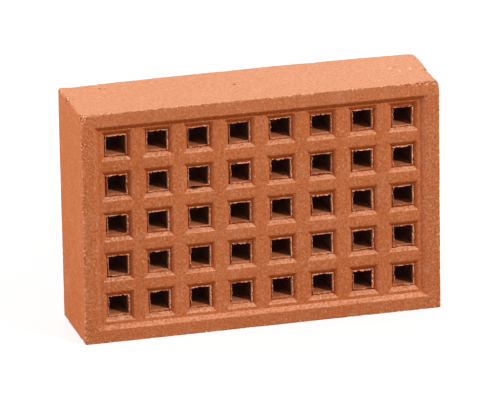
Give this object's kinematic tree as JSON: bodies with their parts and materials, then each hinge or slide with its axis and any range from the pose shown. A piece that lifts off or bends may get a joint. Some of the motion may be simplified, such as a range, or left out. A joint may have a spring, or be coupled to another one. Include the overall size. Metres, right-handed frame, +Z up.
{
  "type": "airbrick",
  "caption": "Terracotta airbrick: a fired clay block with a sunken front panel of funnel-mouthed square holes that let air through a wall.",
  "frame": {"origin": "middle of the bed face that it stands on", "axes": "+X along its length, +Y from the pierced front face to the back, +Z up"},
  "size_m": [0.215, 0.053, 0.14],
  "materials": {
    "terracotta": "unglazed fired clay, matt and sandy"
  },
  "bodies": {
    "root": {"airbrick": "terracotta"}
  },
  "joints": []
}
